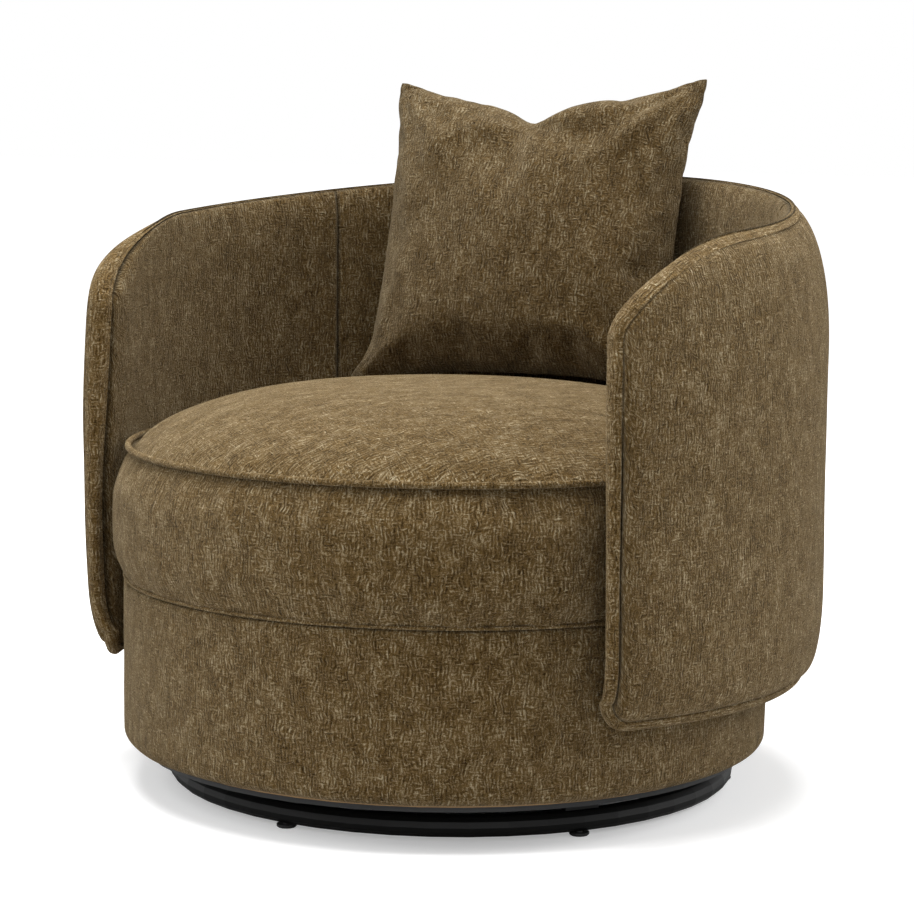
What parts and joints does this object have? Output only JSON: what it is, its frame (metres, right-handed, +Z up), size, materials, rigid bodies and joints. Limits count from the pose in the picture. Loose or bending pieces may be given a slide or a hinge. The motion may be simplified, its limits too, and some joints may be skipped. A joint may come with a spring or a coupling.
{
  "type": "swivel accent chair",
  "caption": "Round upholstered swivel chair: a fabric drum on a steel ring base, a wrap-around shell as arms and back, a loose round seat cushion and a throw pillow.",
  "frame": {"origin": "on the floor under the middle of the chair's footprint", "axes": "+Z up, the front of the seat faces -Y, +X to the right when seen from the front"},
  "size_m": [0.8496, 0.819, 0.7998],
  "materials": {
    "satin_black_steel": "satin black powder coat",
    "black_nylon": "moulded black nylon",
    "zinc_plated_steel": "zinc-plated pressed steel",
    "birch_plywood": "unfinished birch plywood",
    "hardboard": "bare hardboard",
    "black_painted_trim": "flat black paint",
    "black_cambric": "non-woven black dust-cover cloth",
    "deck_felt": "pressed felt pad",
    "olive_chenille": "textured olive-brown chenille over foam",
    "olive_chenille_band": "the same chenille as boxing band and cord"
  },
  "bodies": {
    "base": {"base_ring": "satin_black_steel", "base_spider": "satin_black_steel", "swivel_lower_plate": "zinc_plated_steel", "swivel_pin": "zinc_plated_steel", "glide_1": "black_nylon", "glide_2": "black_nylon", "glide_3": "black_nylon", "glide_4": "black_nylon", "glide_5": "black_nylon", "glide_6": "black_nylon", "base_bolt_1": "zinc_plated_steel", "base_bolt_2": "zinc_plated_steel", "base_bolt_3": "zinc_plated_steel", "base_bolt_4": "zinc_plated_steel"},
    "cage": {"ball_cage": "zinc_plated_steel"},
    "seat": {"swivel_upper_plate": "zinc_plated_steel", "board_bolt_1": "zinc_plated_steel", "board_bolt_2": "zinc_plated_steel", "board_bolt_3": "zinc_plated_steel", "board_bolt_4": "zinc_plated_steel", "shell_bolt_1": "zinc_plated_steel", "shell_bolt_2": "zinc_plated_steel", "shell_bolt_3": "zinc_plated_steel", "shell_bolt_4": "zinc_plated_steel", "shell_bolt_5": "zinc_plated_steel", "shell_bolt_6": "zinc_plated_steel", "seat_spring_1": "zinc_plated_steel", "seat_spring_2": "zinc_plated_steel", "seat_spring_3": "zinc_plated_steel", "seat_spring_4": "zinc_plated_steel", "seat_spring_5": "zinc_plated_steel", "base_board": "birch_plywood", "drum_top_ring": "birch_plywood", "shell_panel": "birch_plywood", "drum_post_1": "birch_plywood", "drum_post_2": "birch_plywood", "drum_post_3": "birch_plywood", "drum_post_4": "birch_plywood", "drum_post_5": "birch_plywood", "drum_post_6": "birch_plywood", "drum_post_7": "birch_plywood", "drum_post_8": "birch_plywood", "drum_hoop": "hardboard", "plinth_ring": "black_painted_trim", "dust_cover": "black_cambric", "seat_deck": "deck_felt", "drum_pad": "olive_chenille", "shell_outer_pad": "olive_chenille", "shell_liner": "olive_chenille", "shell_band": "olive_chenille_band"},
    "cushion": {"seat_cushion": "olive_chenille", "cushion_welt": "olive_chenille_band"},
    "pillow": {"throw_pillow": "olive_chenille"}
  },
  "joints": [
    {"name": "seat_swivel", "type": "hinge", "parent": "base", "child": "seat", "pos_m": [0, -0.0155, 0.04], "axis": [0, 0, 1], "continuous": true},
    {"name": "cage_roll", "type": "hinge", "parent": "base", "child": "cage", "pos_m": [0, -0.0155, 0.04], "axis": [0, 0, 1], "continuous": true},
    {"name": "cushion_lift", "type": "slide", "parent": "seat", "child": "cushion", "axis": [0, 0, 1], "range_m": [0, 0.25]},
    {"name": "pillow_lift", "type": "slide", "parent": "cushion", "child": "pillow", "axis": [0, 0, 1], "range_m": [0, 0.2]}
  ],
  "couplings": [
    {"joint": "cage_roll", "follows": "seat_swivel", "ratio": 0.5}
  ]
}
